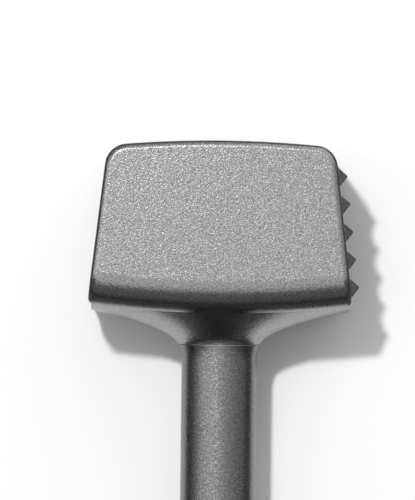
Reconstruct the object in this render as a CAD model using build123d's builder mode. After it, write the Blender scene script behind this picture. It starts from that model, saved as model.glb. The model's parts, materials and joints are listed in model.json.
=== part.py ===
from build123d import *
import os
from math import asin, atan2, cos, degrees, radians, sin, sqrt, tan

# Two-sided meat tenderizer, in millimetres.
# It lies on its back broad face: +Z is up towards the front broad face, +X is the way the toothed face
# strikes, +Y points to the crown of the head and the handle runs along -Y.
# The origin is on the back broad face, on the line through the middle of the head.

# Head casting
head_depth = 58.0          # back broad face to front broad face
head_crown = 26.1          # head centre up to the middle of the bowed top
head_foot = 25.65          # head centre down to the middle of the bowed underside
strike_half = 37.0         # shaft axis out to each strike face, level with the head centre
strike_tilt = 6.7          # degrees that each strike face leans, which leaves room for the knuckles
crown_bow = 332.0          # radius of the bowed top
foot_bow = 315.0           # radius of the bowed underside
crown_corner = 6.8         # round between top and strike face
shoulder_radius = 10.3     # big round between each broad face and the underside
shoulder_cut = 0.5         # the underside stops the round this far short, at a crisp edge
foot_corner = 2.0          # round between underside and strike face
edge_radius = 1.9          # small round along the other edges of the head

# Pyramid teeth of the tenderizing face
tooth_rows = 5             # along the handle
tooth_columns = 6          # across the depth
tooth_pitch = 8.34         # the same both ways
tooth_base = 5.8
tooth_height = 2.55
tooth_tip = 0.5            # blunted tip
tooth_root = 1.2           # depth that each tooth reaches into the rounded edge of its face
tooth_drop = 1.1           # the field sits this far below the head centre

# Neck joint between head and handle
seam_drop = 35.0           # head centre down to the seam
flare_rise = 12.4          # seam up to the largest oval, inside the head
flare_half_width = 51.2    # reach of that oval along X, before its ends are cut off
flare_inset = 1.2          # the cut ends stand this far inside the strike faces
flare_power = 1.9          # how late the flare opens along X: 1 is a straight cone
flare_slope = 1.22         # how fast it opens along Z once past the bend
flare_bend = 0.9           # seam up to that bend
flare_softness = 1.2       # reach of the bend
flare_sections = 12
spigot_radius = 8.5
spigot_flats = 14.0        # across the two flats that stop the head from turning
spigot_height = 5.0
seal_thickness = 1.6
seal_width = 1.7

# Cast-in steel nut in the head
insert_radius = 7.0
insert_waist_radius = 5.8
insert_length = 22.0
insert_collar = 6.0        # full-size length at each end of the waist
insert_rise = 10.0         # seam up to the insert

# Metal shaft
shaft_radius = 11.3
shaft_length = 58.0        # seam down to the grip
root_radius = 9.8          # hollow round where the shaft widens to the seam
root_length = 4.6
root_sections = 4
seam_round = 0.25

# Tie rod, washer and nut
rod_radius = 4.0
rod_embed = 19.0           # length screwed into the insert
rod_tail = 2.6             # rod that stands out of the nut
rod_chamfer = 0.8
washer_radius = 7.4
washer_thickness = 1.6
nut_across_flats = 13.0
nut_height = 6.8

# Grip
core_radius = 10.5
core_wall_to_nut = 2.4     # wall left around the nut pocket
collar_radius = 12.6
collar_length = 4.0
collar_round = 0.8
nose_radius = 7.0
nose_flats = 11.6
nose_length = 18.0
grip_length = 114.0        # soft sleeve
grip_top_radius = 13.0
grip_swell_radius = 15.4
grip_swell_drop = 42.0     # top of the sleeve down to its fullest place
grip_waist_radius = 13.7
grip_waist_drop = 86.0
grip_end_radius = 15.2
grip_end_round = 0.7
groove_count = 9
groove_pitch = 5.2
groove_radius = 0.95
groove_drop = 24.0         # top of the sleeve down to the first groove
pocket_depth = 26.0        # nut pocket in the butt end of the core

# Butt cap and hanging eyelet
cap_radius = 14.8
cap_rim = 5.0              # full round rim that meets the soft sleeve
cap_edge_round = 1.2
cap_plug_length = 11.0
tang_radius = 11.5         # round end of the tang, around the hang hole
tang_thickness = 15.0
tang_edge_round = 2.5
hang_radius = 3.5
hang_drop = 6.5            # rim down to the hang hole
eyelet_wall = 0.8
eyelet_flange = 1.6        # how far the rolled flange reaches over the hole's edge
eyelet_flange_thickness = 0.8

# Fits
fit_gap = 0.05             # mating faces that are pressed, cast in or moulded on
slide_gap = 0.2            # pieces that pass freely

# Worked out from the sizes above
axis_z = head_depth / 2
tilt = radians(strike_tilt)
seam_y = -seam_drop
root_angle = asin(root_length / root_radius)
seam_radius = shaft_radius + root_radius * (1 - cos(root_angle))
seam_slope = tan(root_angle)
pocket_radius = core_radius - core_wall_to_nut
collar_y = -shaft_length
sleeve_top_y = collar_y - collar_length
sleeve_end_y = sleeve_top_y - grip_length
nut_seat_y = sleeve_end_y + pocket_depth
rod_bottom_y = nut_seat_y - washer_thickness - nut_height - rod_tail
rod_top_y = insert_rise + rod_embed
rim_y = sleeve_end_y - cap_rim
hang_y = rim_y - hang_drop
rod_hole_radius = rod_radius + slide_gap
eyelet_radius = hang_radius + eyelet_wall
flange_radius = eyelet_radius + eyelet_flange
flange_rise = tang_thickness / 2 - eyelet_flange_thickness

# The shaft section has its origin on the seam: x is the distance from the shaft axis, y runs up the axis.
shaft_section = Plane(origin=(0, seam_y, axis_z), x_dir=(1, 0, 0), z_dir=(0, 0, 1))
shaft_axis = Axis((0, 0, axis_z), (0, 1, 0))

# The hang hole crosses the shaft axis, square to the broad faces.
hang_plane = Plane.XY.offset(axis_z).shift_origin((0, seam_y + hang_y, axis_z))

# The toothed strike face: x runs up the face and y across it.
strike_plane = Plane(
    origin=(strike_half, 0, axis_z), x_dir=(-sin(tilt), cos(tilt), 0), z_dir=(cos(tilt), sin(tilt), 0)
)


def across_shaft(rise):
    """Plane square to the shaft axis, at a height above the seam, facing the head."""
    return Plane(origin=(0, seam_y + rise, axis_z), x_dir=(1, 0, 0), z_dir=(0, 1, 0))


def double_flat(radius, flats):
    """Round section with two flats, used for the keyed spigot and nose."""
    Circle(radius)
    Rectangle(flats, 3 * radius, mode=Mode.INTERSECT)


def strike_block(top_y, foot_y, inset, mode):
    """Outline between the two leaning strike faces, drawn in by an inset."""
    top = strike_half - inset - top_y * tan(tilt)
    foot = strike_half - inset - foot_y * tan(tilt)
    Polygon((top, top_y), (-top, top_y), (-foot, foot_y), (foot, foot_y), align=None, mode=mode)


def neck_half_width(rise):
    """Half size of the neck along X: the shaft's root below the seam and the flare above it, tangent there."""
    if rise < 0:
        return shaft_radius + root_radius - sqrt(root_radius**2 - (root_length + rise) ** 2)
    straight = seam_radius + seam_slope * rise
    curved = flare_half_width - seam_radius - seam_slope * flare_rise
    return straight + curved * (rise / flare_rise) ** flare_power


def neck_bend(rise):
    """Rises from nothing to a straight slope of 1 past the bend."""
    past = rise - flare_bend
    return (sqrt(past**2 + flare_softness**2) + past) / 2


def neck_half_depth(rise):
    """Half size of the neck along Z: straight like the shaft, then steep past the bend."""
    return shaft_radius + flare_slope * (neck_bend(rise) - neck_bend(-root_length))


def neck_oval(rise):
    """Section of the neck at a height above the seam."""
    Ellipse(neck_half_width(rise), neck_half_depth(rise))


def tooth_field():
    """Square footprints of all the teeth, in rows along the handle and columns across the depth."""
    with Locations((-tooth_drop, 0)):
        with GridLocations(tooth_pitch, tooth_pitch, tooth_rows, tooth_columns):
            Rectangle(tooth_base, tooth_base)


def bobbin_outline(gap):
    """Half section of the cast-in insert, from the shaft axis, with a gap all round."""
    base = insert_rise - gap
    top = insert_rise + insert_length + gap
    waist_base = insert_rise + insert_collar + gap
    waist_top = insert_rise + insert_length - insert_collar - gap
    return [
        (0, base),
        (insert_radius + gap, base),
        (insert_radius + gap, waist_base),
        (insert_waist_radius + gap, waist_base),
        (insert_waist_radius + gap, waist_top),
        (insert_radius + gap, waist_top),
        (insert_radius + gap, top),
        (0, top),
    ]


# Flare: oval sections that grow from the round neck to the underside of the head
with BuildPart() as flare:
    for section in range(flare_sections + 1):
        rise = flare_rise * section / flare_sections
        with BuildSketch(across_shaft(rise)):
            neck_oval(rise)
    loft()
    with BuildSketch(Plane.XY):
        with Locations((0, seam_y)):
            Rectangle(2 * flare_half_width, 2 * seam_drop)
        strike_block(0, 2 * seam_y, flare_inset, Mode.SUBTRACT)
    extrude(amount=head_depth, mode=Mode.SUBTRACT)

# Head casting: bowed block with leaning strike faces, teeth on one of them, flare and neck socket
with BuildPart() as head_casting:
    top_y = head_crown + crown_corner
    foot_y = -head_foot - shoulder_radius
    with BuildSketch(Plane.XY):
        strike_block(top_y, foot_y, 0, Mode.ADD)
        with Locations((0, head_crown - crown_bow)):
            Circle(crown_bow, mode=Mode.INTERSECT)
        with Locations((0, foot_bow - head_foot)):
            Circle(foot_bow + shoulder_cut, mode=Mode.INTERSECT)
    extrude(amount=head_depth)
    underside = head_casting.faces().sort_by(Axis.Y)[0]
    fillet(underside.edges().filter_by(GeomType.CIRCLE), shoulder_radius)
    with BuildSketch(Plane.XY):
        with Locations((0, foot_bow - head_foot)):
            Circle(foot_bow)
    extrude(amount=head_depth, mode=Mode.INTERSECT)
    corners = head_casting.edges().filter_by(Axis.Z).group_by(Axis.Y)
    fillet(corners[-1], crown_corner)
    fillet(corners[0], foot_corner)
    broad_faces = head_casting.faces().filter_by(Plane.XY).sort_by(Axis.Z)
    fillet([face.edges().sort_by(Axis.Y)[-1] for face in broad_faces], edge_radius)

    with BuildSketch(strike_plane.offset(-tooth_root)):
        tooth_field()
    extrude(amount=tooth_root)
    with BuildSketch(strike_plane):
        tooth_field()
    extrude(amount=tooth_height, taper=degrees(atan2(tooth_base - tooth_tip, 2 * tooth_height)))

    add(flare.part)
    with BuildSketch(across_shaft(0)):
        Circle(spigot_radius + fit_gap + seal_width + fit_gap)
    extrude(amount=seal_thickness + fit_gap, mode=Mode.SUBTRACT)
    with BuildSketch(across_shaft(0)):
        double_flat(spigot_radius + fit_gap, spigot_flats + 2 * fit_gap)
    extrude(amount=spigot_height + slide_gap, mode=Mode.SUBTRACT)
    with BuildSketch(across_shaft(0)):
        Circle(rod_hole_radius)
    extrude(amount=insert_rise, mode=Mode.SUBTRACT)
    with BuildSketch(shaft_section):
        with BuildLine():
            Polyline(bobbin_outline(fit_gap), close=True)
        make_face()
    revolve(axis=shaft_axis, mode=Mode.SUBTRACT)

# Cast-in threaded insert that takes the pull of the tie rod
with BuildPart() as thread_insert:
    with BuildSketch(shaft_section):
        with BuildLine():
            Polyline(bobbin_outline(0), close=True)
        make_face()
    revolve(axis=shaft_axis)
    with BuildSketch(across_shaft(insert_rise)):
        Circle(rod_radius + fit_gap)
    extrude(amount=insert_length - fit_gap, mode=Mode.SUBTRACT)

# Seal ring around the root of the spigot
with BuildPart() as neck_seal:
    with BuildSketch(across_shaft(fit_gap)):
        Circle(spigot_radius + fit_gap + seal_width)
        Circle(spigot_radius + fit_gap, mode=Mode.SUBTRACT)
    extrude(amount=seal_thickness - fit_gap)

# Shaft: round bar that widens to an oval at the seam, with a keyed spigot above and a keyed socket below
with BuildPart() as shaft_sleeve:
    with BuildSketch(across_shaft(collar_y)):
        Circle(shaft_radius)
    extrude(amount=shaft_length - root_length)
    for section in range(root_sections + 1):
        rise = root_length * (section / root_sections - 1)
        with BuildSketch(across_shaft(rise)):
            neck_oval(rise)
    loft()
    fillet(shaft_sleeve.faces().sort_by(Axis.Y)[-1].edges(), seam_round)
    with BuildSketch(across_shaft(0)):
        Circle(spigot_radius)
    extrude(amount=seal_thickness)
    with BuildSketch(across_shaft(seal_thickness)):
        double_flat(spigot_radius, spigot_flats)
    extrude(amount=spigot_height - seal_thickness)
    with BuildSketch(across_shaft(collar_y)):
        double_flat(nose_radius + fit_gap, nose_flats + 2 * fit_gap)
    extrude(amount=nose_length + slide_gap, mode=Mode.SUBTRACT)
    with BuildSketch(across_shaft(collar_y)):
        Circle(rod_hole_radius)
    extrude(amount=shaft_length + spigot_height, mode=Mode.SUBTRACT)

# Tie rod that pulls head, shaft and grip together
with BuildPart() as tie_rod:
    with BuildSketch(across_shaft(rod_bottom_y)):
        Circle(rod_radius)
    extrude(amount=rod_top_y - rod_bottom_y)
    chamfer(tie_rod.edges(), rod_chamfer)

# Grip core: collar, keyed nose and nut pocket
with BuildPart() as grip_core:
    with BuildSketch(across_shaft(sleeve_end_y)):
        Circle(core_radius)
    extrude(amount=grip_length)
    with BuildSketch(across_shaft(sleeve_top_y)):
        Circle(collar_radius)
    extrude(amount=collar_length)
    collar_rims = grip_core.edges().filter_by(GeomType.CIRCLE).sort_by(SortBy.LENGTH)[-2:]
    fillet(collar_rims, collar_round)
    with BuildSketch(across_shaft(collar_y)):
        double_flat(nose_radius, nose_flats)
    extrude(amount=nose_length)
    with BuildSketch(across_shaft(sleeve_end_y)):
        Circle(pocket_radius)
    extrude(amount=pocket_depth, mode=Mode.SUBTRACT)
    with BuildSketch(across_shaft(sleeve_end_y)):
        Circle(rod_hole_radius)
    extrude(amount=grip_length + collar_length + nose_length, mode=Mode.SUBTRACT)

# Soft sleeve: swell for the palm, waist and flared butt, with finger grooves
with BuildPart() as grip_sleeve:
    sleeve_bore = core_radius + fit_gap
    with BuildSketch(shaft_section):
        with BuildLine():
            contour = Spline(
                (grip_top_radius, sleeve_top_y),
                (grip_swell_radius, sleeve_top_y - grip_swell_drop),
                (grip_waist_radius, sleeve_top_y - grip_waist_drop),
                (grip_end_radius, sleeve_end_y),
            )
            Polyline(contour @ 1, (sleeve_bore, sleeve_end_y), (sleeve_bore, sleeve_top_y), contour @ 0)
        make_face()
    revolve(axis=shaft_axis)
    sleeve_ends = grip_sleeve.faces().filter_by(GeomType.PLANE)
    fillet([end.edges().sort_by(SortBy.LENGTH)[-1] for end in sleeve_ends], grip_end_round)
    with BuildSketch(shaft_section):
        for groove in range(groove_count):
            along = groove_drop + groove * groove_pitch
            with Locations(contour @ (along / contour.length)):
                Circle(groove_radius)
    revolve(axis=shaft_axis, mode=Mode.SUBTRACT)

# Washer and nut in the pocket of the core
with BuildPart() as washer:
    with BuildSketch(across_shaft(nut_seat_y)):
        Circle(washer_radius)
        Circle(rod_hole_radius, mode=Mode.SUBTRACT)
    extrude(amount=-washer_thickness)

with BuildPart() as lock_nut:
    with BuildSketch(across_shaft(nut_seat_y - washer_thickness)):
        RegularPolygon(nut_across_flats / 2, 6, major_radius=False)
        Circle(rod_radius + fit_gap, mode=Mode.SUBTRACT)
    extrude(amount=-nut_height)

# Tang of the butt cap: flat tongue with a round end
with BuildPart() as tang:
    with BuildSketch(hang_plane):
        Circle(tang_radius)
        Rectangle(2 * tang_radius, hang_drop + cap_rim / 2, align=(Align.CENTER, Align.MIN))
    extrude(amount=tang_thickness / 2, both=True)
    fillet(tang.faces().filter_by(Plane.XY).edges(), tang_edge_round)

# Butt cap: round rim, plug in the nut pocket, tang and seats for the eyelet
with BuildPart() as butt_cap:
    with BuildSketch(across_shaft(sleeve_end_y)):
        Circle(cap_radius)
    extrude(amount=-cap_rim)
    fillet(butt_cap.edges().filter_by(GeomType.CIRCLE), cap_edge_round)
    add(tang.part)
    with BuildSketch(across_shaft(sleeve_end_y)):
        Circle(pocket_radius - fit_gap)
    extrude(amount=cap_plug_length)
    with BuildSketch(hang_plane):
        Circle(eyelet_radius + fit_gap)
    extrude(amount=tang_thickness, both=True, mode=Mode.SUBTRACT)
    for side in (-1, 1):
        with BuildSketch(hang_plane.offset(side * (flange_rise - fit_gap))):
            Circle(flange_radius + fit_gap)
        extrude(amount=side * tang_thickness, mode=Mode.SUBTRACT)

# Rolled eyelet that lines the hang hole
with BuildPart() as hang_eyelet:
    with BuildSketch(hang_plane):
        Circle(eyelet_radius)
    extrude(amount=tang_thickness / 2, both=True)
    for side in (-1, 1):
        with BuildSketch(hang_plane.offset(side * flange_rise)):
            Circle(flange_radius)
        extrude(amount=side * eyelet_flange_thickness)
    with BuildSketch(hang_plane):
        Circle(hang_radius)
    extrude(amount=tang_thickness, both=True, mode=Mode.SUBTRACT)

head_casting.part.label = "head_casting"
thread_insert.part.label = "thread_insert"
neck_seal.part.label = "neck_seal"
shaft_sleeve.part.label = "shaft_sleeve"
tie_rod.part.label = "tie_rod"
grip_core.part.label = "grip_core"
grip_sleeve.part.label = "grip_sleeve"
washer.part.label = "washer"
lock_nut.part.label = "lock_nut"
butt_cap.part.label = "butt_cap"
hang_eyelet.part.label = "hang_eyelet"

os.makedirs("parts", exist_ok=True)
export_step(head_casting.part, "parts/head_casting.step")
export_step(thread_insert.part, "parts/thread_insert.step")
export_step(neck_seal.part, "parts/neck_seal.step")
export_step(shaft_sleeve.part, "parts/shaft_sleeve.step")
export_step(tie_rod.part, "parts/tie_rod.step")
export_step(grip_core.part, "parts/grip_core.step")
export_step(grip_sleeve.part, "parts/grip_sleeve.step")
export_step(washer.part, "parts/washer.step")
export_step(lock_nut.part, "parts/lock_nut.step")
export_step(butt_cap.part, "parts/butt_cap.step")
export_step(hang_eyelet.part, "parts/hang_eyelet.step")
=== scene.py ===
import bpy
import json
import math
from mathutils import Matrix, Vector


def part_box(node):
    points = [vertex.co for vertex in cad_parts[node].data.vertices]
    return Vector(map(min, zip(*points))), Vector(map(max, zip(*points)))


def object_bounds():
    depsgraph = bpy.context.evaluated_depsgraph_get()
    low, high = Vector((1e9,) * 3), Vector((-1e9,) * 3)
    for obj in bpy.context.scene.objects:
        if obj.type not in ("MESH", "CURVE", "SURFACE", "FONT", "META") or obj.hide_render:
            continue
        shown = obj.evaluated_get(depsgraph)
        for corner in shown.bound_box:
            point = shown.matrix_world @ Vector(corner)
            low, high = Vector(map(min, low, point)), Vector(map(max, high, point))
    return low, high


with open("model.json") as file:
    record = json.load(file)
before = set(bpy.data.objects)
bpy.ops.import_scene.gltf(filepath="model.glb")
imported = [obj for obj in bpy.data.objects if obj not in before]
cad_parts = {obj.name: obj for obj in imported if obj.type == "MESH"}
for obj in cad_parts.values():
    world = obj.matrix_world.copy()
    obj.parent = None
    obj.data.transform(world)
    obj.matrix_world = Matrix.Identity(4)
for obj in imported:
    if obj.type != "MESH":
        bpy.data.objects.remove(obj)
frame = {"nodes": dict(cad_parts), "record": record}
cad_low, cad_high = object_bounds()
SEAM_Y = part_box("head_casting")[0].y    # seam across the neck, where the shaft begins

# Picture: the tool seen from straight above, turned a little clockwise
PICTURE_WIDTH = 415              # pixels
PICTURE_HEIGHT = 500
PIXELS_PER_METRE = 3350.0        # on the front broad face
SEAM_PIXEL = (219.35, 344.9)     # where the shaft axis crosses the seam
TURN = 0.0113                    # radians, clockwise in the picture
CAMERA_DISTANCE = 3.0            # metres above the front broad face
CAMERA_REACH = 9.0               # metres that it sees
SENSOR = 36.0                    # millimetres, on the long side of the picture

# Grain of the castings and mouldings
GRAIN_LEVELS = (0.27, 0.73)      # noise of the deepest pits and of the highest ground
PIT_SHARE = 0.75                 # share of the pits in the relief
PEAK_SHARE = 0.5                 # share of the small peaks in the relief
PEAK_FINENESS = 1.7              # how much finer the small peaks are than the pits

# Handling patches, and a highlight painted along the seam as a lighter line
PATCH_LEVELS = (0.3, 0.7)        # noise of a polished patch and of a dulled one
GLOSS_BY_GRAIN = 0.6             # how far the grain changes the gloss of the cast metal
GLOSS_BY_HANDLING = 0.4          # how far the patches change it
SEAM_HIGHLIGHT_FADE = (0.0002, 0.0005)     # metres from the seam where the painted highlight line begins to fade, and ends
# grey painted along the seam as its highlight, lighter than the shaft
SEAM_HIGHLIGHT_GREY = 0.42
SEAM_HIGHLIGHT_DULL = 0.25                 # roughness that the painted highlight line adds

# Tool marks of the turned steel
MARKS_PER_METRE = 2600.0
MARK_LEVELS = (0.2, 0.8)         # noise of the glossiest and of the dullest marks
MARK_DEPTH = 0.00002             # metres
MARK_STRENGTH = 0.4
STEEL_HANDLED = 0.9              # share of the colour that the handled patches keep

# Key lamp: a small one for the crisp shadow, and a softer one that shows in the metal
KEY_DIRECTION = Vector((-0.156, 0.265, 0.951))
KEY_DISTANCE = 1.2               # metres from the front broad face
KEY_IRRADIANCE = 2.5             # of both, on the head, in watts per square metre
KEY_WIDTH = 0.06                 # metres
GLINT_WIDTH = 0.3
GLINT_SHARE = 0.113              # share of the light that comes from the softer lamp

# Soft box overhead: X and Y are parts of the direction towards it, and a slope is Y over height
PANEL_RADIANCE = 1.52
PANEL_LEFT = (-1.12, -0.75)      # X where its left side would be dark, and where it is full
PANEL_RIGHT = (-0.62, 1.68)      # X where it begins to dim to the right, and would be dark
PANEL_SWING = 1.0                # how much later it dims there towards the crown
PANEL_NEAR = (-0.84, -0.75)      # slopes of its soft edge on the handle's side
PANEL_LIFT = (-0.55, -0.15)      # slopes between which it grows brighter towards that edge
PANEL_LIFT_LEVEL = 1.28          # how bright it is past them
PANEL_TONGUE = 0.12              # half width of the tongue that reaches out to that edge
PANEL_CORNER = 9.0               # how fast the edge draws back beside the tongue
PANEL_FLANK = 0.6                # how far it opens out again at the left and right
PANEL_FLATTEST = 0.05            # least height that a slope is reckoned with
PANEL_BACK = (0.3, 1.1)          # Y where it begins to dim behind the crown, and is dimmest
PANEL_BACK_SKEW = 3.0            # how much sooner it dims on the left there
PANEL_BACK_LEVEL = 0.3

# Room around the soft box
ROOM_RADIANCE = (0.01, 0.22)     # at the horizon and overhead
ROOM_RISE = 0.35                 # Z where the room is at its brightest

# Floor: white where the picture shows it, and grey around that
FLOOR_SIZE = 6.0                 # metres
FLOOR_WHITE = 0.83
FLOOR_GREY = 0.1
FLOOR_ROUGHNESS = 0.9
WHITE_CENTRE = (-0.0035, -0.005)  # metres
WHITE_HALF = (0.0635, 0.088)
WHITE_FADE = 0.008               # width of its soft edge

# Places of a Mix node's colour sockets, whose names its other sockets share
MIX_COLOURS = (6, 7)
MIX_RESULT = 2


# Shader helpers

def grey(level):
    """Neutral colour."""
    return (level, level, level)


class Wiring:
    """One node tree, with short calls to add and join its nodes."""

    def __init__(self, tree):
        self.tree = tree

    def feed(self, socket, value):
        """Sets an input socket, or joins it to an output socket."""
        if isinstance(value, bpy.types.NodeSocket):
            self.tree.links.new(value, socket)
        else:
            socket.default_value = value

    def put(self, node, name, value):
        """Feeds the input socket of that name."""
        self.feed(node.inputs[name], value)

    def add(self, kind, settings=None, **sockets):
        """Adds a node, sets its properties, and feeds its input sockets by name."""
        node = self.tree.nodes.new(kind)
        for name, value in (settings or {}).items():
            setattr(node, name, value)
        for name, value in sockets.items():
            self.put(node, name.replace("_", " "), value)
        return node

    def math(self, operation, *values):
        """Math node with up to three inputs."""
        node = self.add("ShaderNodeMath", {"operation": operation})
        for socket, value in zip(node.inputs, values):
            self.feed(socket, value)
        return node.outputs[0]

    def ramp(self, value, low, high, to_low, to_high, smooth=False):
        """Maps a value from one range to another."""
        node = self.add("ShaderNodeMapRange", {"interpolation_type": "SMOOTHSTEP" if smooth else "LINEAR"})
        limits = {"Value": value, "From Min": low, "From Max": high, "To Min": to_low, "To Max": to_high}
        for name, limit in limits.items():
            self.put(node, name, limit)
        return node.outputs[0]

    def tint(self, factor, first, second):
        """Colour between two others, by a factor."""
        node = self.add("ShaderNodeMix", {"data_type": "RGBA"}, Factor=factor)
        for place, colour in zip(MIX_COLOURS, (first, second)):
            opaque = colour if isinstance(colour, bpy.types.NodeSocket) else (*colour, 1.0)
            self.feed(node.inputs[place], opaque)
        return node.outputs[MIX_RESULT]

    def place(self, space="Object"):
        """Place on the piece, or direction in the world, as a vector."""
        return self.add("ShaderNodeTexCoord").outputs[space]

    def bump(self, shader, height, depth, strength=1.0):
        """Gives a shader a relief of that depth, in metres."""
        relief = self.add("ShaderNodeBump", Strength=strength, Distance=depth, Height=height)
        self.put(shader, "Normal", relief.outputs[0])


# Effects that several finishes share

def new_group(name, inputs, outputs):
    """Shader node group with number inputs, given with their defaults, and number outputs."""
    tree = bpy.data.node_groups.new(name, "ShaderNodeTree")
    for label, default in inputs.items():
        socket = tree.interface.new_socket(name=label, in_out="INPUT", socket_type="NodeSocketFloat")
        socket.default_value = default
    for label in outputs:
        tree.interface.new_socket(name=label, in_out="OUTPUT", socket_type="NodeSocketFloat")
    wiring = Wiring(tree)
    return wiring, wiring.add("NodeGroupInput"), wiring.add("NodeGroupOutput")


def cast_grain_group():
    """Grain of a blasted surface: worm-like pits and small peaks."""
    wiring, given, result = new_group(
        "cast_grain", {"Grains per metre": 1200.0, "Warp": 0.5}, ["Height", "Speckle"]
    )
    place = wiring.place()
    pits = wiring.add(
        "ShaderNodeTexNoise",
        Vector=place,
        Scale=given.outputs["Grains per metre"],
        Detail=0.5,
        Distortion=given.outputs["Warp"],
    )
    peak_scale = wiring.math("MULTIPLY", given.outputs["Grains per metre"], PEAK_FINENESS)
    peaks = wiring.add("ShaderNodeTexNoise", Vector=place, Scale=peak_scale, Detail=0.0)
    speckle = wiring.ramp(pits.outputs[0], *GRAIN_LEVELS, 0.0, 1.0)
    pitted = wiring.math("MULTIPLY", speckle, PIT_SHARE)
    wiring.put(result, "Height", wiring.math("MULTIPLY_ADD", peaks.outputs[0], PEAK_SHARE, pitted))
    wiring.put(result, "Speckle", speckle)
    return wiring.tree


def handling_group():
    """Broad, faint patches where hands and cloths have polished or dulled a surface."""
    wiring, given, result = new_group("handling", {"Patches per metre": 30.0}, ["Patch"])
    cloud = wiring.add(
        "ShaderNodeTexNoise",
        Vector=wiring.place(),
        Scale=given.outputs["Patches per metre"],
        Detail=3.0,
        Roughness=0.55,
        Distortion=0.4,
    )
    wiring.put(result, "Patch", wiring.ramp(cloud.outputs[0], *PATCH_LEVELS, 0.0, 1.0, smooth=True))
    return wiring.tree


CAST_GRAIN = cast_grain_group()
HANDLING = handling_group()


# Finishes

def new_material(name):
    """Empty material with its wiring and its Principled shader, joined to the output."""
    material = bpy.data.materials.new(name)
    material.use_nodes = True
    material.node_tree.nodes.clear()
    wiring = Wiring(material.node_tree)
    shader = wiring.add("ShaderNodeBsdfPrincipled")
    wiring.add("ShaderNodeOutputMaterial", Surface=shader.outputs[0])
    return material, wiring, shader


def cast_alloy(name, greys, roughness, grains, depth, edge_tint, highlight_seam_y=None):
    """Dark grey cast metal with grain in its relief, colour and gloss, and, where a seam is given, a
    lighter line painted along it as a highlight.
    """
    material, wiring, shader = new_material(name)
    grain = wiring.add("ShaderNodeGroup", {"node_tree": CAST_GRAIN})
    wiring.put(grain, "Grains per metre", grains)
    handling = wiring.add("ShaderNodeGroup", {"node_tree": HANDLING})
    handled = wiring.math("MULTIPLY", handling.outputs["Patch"], GLOSS_BY_HANDLING)
    dulled = wiring.math("MULTIPLY_ADD", grain.outputs["Speckle"], GLOSS_BY_GRAIN, handled)
    colour = wiring.tint(grain.outputs["Speckle"], *map(grey, greys))
    gloss = wiring.ramp(dulled, 0.0, 1.0, *roughness)
    if highlight_seam_y is not None:
        # Highlight painted along the seam: a thin line of lighter grey, which is also made rougher.
        along = wiring.add("ShaderNodeSeparateXYZ", Vector=wiring.place())
        off_seam = wiring.math("ABSOLUTE", wiring.math("SUBTRACT", along.outputs["Y"], highlight_seam_y))
        painted_highlight = wiring.ramp(off_seam, *SEAM_HIGHLIGHT_FADE, 1.0, 0.0, smooth=True)
        colour = wiring.tint(painted_highlight, colour, grey(SEAM_HIGHLIGHT_GREY))
        gloss = wiring.math("MULTIPLY_ADD", painted_highlight, SEAM_HIGHLIGHT_DULL, gloss)
    wiring.put(shader, "Base Color", colour)
    wiring.put(shader, "Roughness", gloss)
    shader.inputs["Metallic"].default_value = 1.0
    shader.inputs["Specular Tint"].default_value = (*grey(edge_tint), 1.0)
    wiring.bump(shader, grain.outputs["Height"], depth)
    return material


def moulded(name, colours, roughness, grains, depth):
    """Black plastic or rubber with a fine moulded texture and faint handling patches."""
    material, wiring, shader = new_material(name)
    grain = wiring.add("ShaderNodeGroup", {"node_tree": CAST_GRAIN})
    wiring.put(grain, "Grains per metre", grains)
    wiring.put(grain, "Warp", 0.0)
    handling = wiring.add("ShaderNodeGroup", {"node_tree": HANDLING})
    wiring.put(shader, "Base Color", wiring.tint(handling.outputs["Patch"], *colours))
    wiring.put(shader, "Roughness", wiring.ramp(handling.outputs["Patch"], 0.0, 1.0, *roughness))
    wiring.bump(shader, grain.outputs["Height"], depth)
    return material


def turned_steel(name, level, roughness):
    """Bare steel with fine tool marks."""
    material, wiring, shader = new_material(name)
    marks = wiring.add("ShaderNodeTexNoise", Vector=wiring.place(), Scale=MARKS_PER_METRE, Detail=2.0)
    handling = wiring.add("ShaderNodeGroup", {"node_tree": HANDLING})
    colour = wiring.tint(handling.outputs["Patch"], grey(STEEL_HANDLED * level), grey(level))
    wiring.put(shader, "Base Color", colour)
    wiring.put(shader, "Roughness", wiring.ramp(marks.outputs[0], *MARK_LEVELS, *roughness))
    shader.inputs["Metallic"].default_value = 1.0
    wiring.bump(shader, marks.outputs[0], MARK_DEPTH, MARK_STRENGTH)
    return material


FINISHES = {
    "grained_alloy": cast_alloy(
        "head_alloy",
        greys=(0.25, 0.48),
        roughness=(0.15, 0.2),
        grains=2400.0,
        depth=0.000035,
        edge_tint=0.75,
    ),
    "shaft_alloy": cast_alloy(
        "shaft_alloy",
        greys=(0.18, 0.33),
        roughness=(0.13, 0.18),
        grains=2500.0,
        depth=0.000045,
        edge_tint=0.7,
        # the shaft's seam gets the painted highlight line
        highlight_seam_y=SEAM_Y,
    ),
    "steel": turned_steel("turned_steel", level=0.6, roughness=(0.24, 0.42)),
    "eyelet_steel": turned_steel("eyelet_steel", level=0.58, roughness=(0.16, 0.34)),
    "core_plastic": moulded(
        "core_plastic",
        colours=((0.02, 0.02, 0.021), (0.03, 0.03, 0.031)),
        roughness=(0.42, 0.58),
        grains=1500.0,
        depth=0.00002,
    ),
    "grip_rubber": moulded(
        "grip_rubber",
        colours=((0.014, 0.014, 0.015), (0.022, 0.022, 0.023)),
        roughness=(0.6, 0.75),
        grains=1800.0,
        depth=0.00003,
    ),
    "seal_rubber": moulded(
        "seal_rubber",
        colours=(grey(0.012), grey(0.018)),
        roughness=(0.55, 0.7),
        grains=1500.0,
        depth=0.00002,
    ),
}

for subpart in frame["record"]["subparts"]:
    piece = frame["nodes"][subpart["node"]]
    piece.data.materials.clear()
    piece.data.materials.append(FINISHES[subpart["material_slot"]])


# Floor, light and camera

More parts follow.
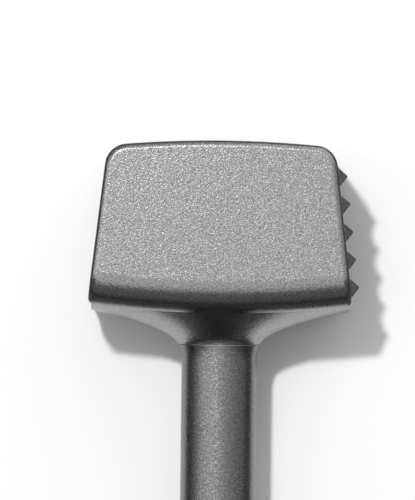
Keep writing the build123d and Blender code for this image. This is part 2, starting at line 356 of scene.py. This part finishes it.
def build_floor():
    """Floor that takes the tool's shadow."""
    bpy.ops.mesh.primitive_plane_add(size=FLOOR_SIZE, location=(0.0, 0.0, cad_low.z))
    floor = bpy.context.object
    floor.name = "floor"
    material, wiring, shader = new_material("floor_white")
    along = wiring.add("ShaderNodeSeparateXYZ", Vector=wiring.place())
    past_white = []
    for axis, centre, half in zip("XY", WHITE_CENTRE, WHITE_HALF):
        off_centre = wiring.math("ABSOLUTE", wiring.math("SUBTRACT", along.outputs[axis], centre))
        past_white.append(wiring.math("SUBTRACT", off_centre, half))
    fade = wiring.ramp(wiring.math("MAXIMUM", *past_white), 0.0, WHITE_FADE, 0.0, 1.0, smooth=True)
    wiring.put(shader, "Base Color", wiring.tint(fade, grey(FLOOR_WHITE), grey(FLOOR_GREY)))
    shader.inputs["Roughness"].default_value = FLOOR_ROUGHNESS
    shader.inputs["Specular IOR Level"].default_value = 0.0
    floor.data.materials.append(material)


def build_soft_box():
    """Soft box overhead in a dim room, by the direction that the light comes from."""
    world = bpy.data.worlds.new("studio")
    bpy.context.scene.world = world
    world.use_nodes = True
    world.node_tree.nodes.clear()
    wiring = Wiring(world.node_tree)
    towards = wiring.add("ShaderNodeSeparateXYZ", Vector=wiring.place("Generated")).outputs
    sideways = wiring.math("ABSOLUTE", towards["X"])

    # Near edge, with a tongue in the middle
    overhead = wiring.math("MAXIMUM", towards["Z"], 0.0)
    height = wiring.math("MULTIPLY_ADD", sideways, PANEL_FLANK, overhead)
    beside_tongue = wiring.math("MAXIMUM", wiring.math("SUBTRACT", sideways, PANEL_TONGUE), 0.0)
    corner = wiring.math("MULTIPLY_ADD", beside_tongue, PANEL_CORNER, 1.0)
    near = wiring.math("MULTIPLY", towards["Y"], corner)
    slope = wiring.math("DIVIDE", near, wiring.math("MAXIMUM", height, PANEL_FLATTEST))

    # Right side, and the part behind the crown
    aside = wiring.math("MULTIPLY_ADD", towards["Y"], -PANEL_SWING, towards["X"])
    skew = wiring.math("MULTIPLY_ADD", towards["X"], -PANEL_BACK_SKEW, 1.0)
    behind = wiring.math("MULTIPLY", towards["Y"], skew)

    glow = PANEL_RADIANCE
    for shade in (
        wiring.ramp(towards["X"], *PANEL_LEFT, 0.0, 1.0, smooth=True),
        wiring.ramp(aside, *PANEL_RIGHT, 1.0, 0.0),
        wiring.ramp(slope, *PANEL_NEAR, 0.0, 1.0, smooth=True),
        wiring.ramp(slope, *PANEL_LIFT, PANEL_LIFT_LEVEL, 1.0, smooth=True),
        wiring.ramp(behind, *PANEL_BACK, 1.0, PANEL_BACK_LEVEL),
    ):
        glow = wiring.math("MULTIPLY", shade, glow)
    room = wiring.ramp(towards["Z"], 0.0, ROOM_RISE, *ROOM_RADIANCE)
    backdrop = wiring.add("ShaderNodeBackground", Strength=wiring.math("MAXIMUM", room, glow))
    wiring.add("ShaderNodeOutputWorld", Surface=backdrop.outputs[0])


def build_key_lamp(name, width, share, shows_in_metal):
    """One lamp of the key light, with its share of the light."""
    lamp = bpy.data.lights.new(name, "AREA")
    lamp.shape = "DISK"
    lamp.size = width
    lamp.energy = share * KEY_IRRADIANCE * math.pi * KEY_DISTANCE**2
    holder = bpy.data.objects.new(name, lamp)
    bpy.context.scene.collection.objects.link(holder)
    holder.location = KEY_DISTANCE * KEY_DIRECTION.normalized()
    holder.location.z += cad_high.z
    holder.rotation_mode = "QUATERNION"
    holder.rotation_quaternion = KEY_DIRECTION.to_track_quat("Z", "Y")
    holder.visible_glossy = shows_in_metal


def build_camera():
    """Camera straight above, placed so that the seam falls on its pixel."""
    right = (PICTURE_WIDTH / 2 - SEAM_PIXEL[0]) / PIXELS_PER_METRE
    up = (SEAM_PIXEL[1] - PICTURE_HEIGHT / 2) / PIXELS_PER_METRE
    centre_x = right * math.cos(TURN) - up * math.sin(TURN)
    centre_y = SEAM_Y + right * math.sin(TURN) + up * math.cos(TURN)
    camera_data = bpy.data.cameras.new("camera")
    camera_data.sensor_width = SENSOR
    camera_data.lens = SENSOR * CAMERA_DISTANCE * PIXELS_PER_METRE / PICTURE_HEIGHT
    camera_data.clip_end = CAMERA_REACH
    camera = bpy.data.objects.new("camera", camera_data)
    bpy.context.scene.collection.objects.link(camera)
    camera.location = (centre_x, centre_y, cad_high.z + CAMERA_DISTANCE)
    camera.rotation_euler = (0.0, 0.0, TURN)
    bpy.context.scene.camera = camera


build_floor()
build_soft_box()
build_key_lamp("key_glint", GLINT_WIDTH, GLINT_SHARE, True)
build_key_lamp("key_shade", KEY_WIDTH, 1.0 - GLINT_SHARE, False)
build_camera()
bpy.context.scene.view_settings.view_transform = "Standard"
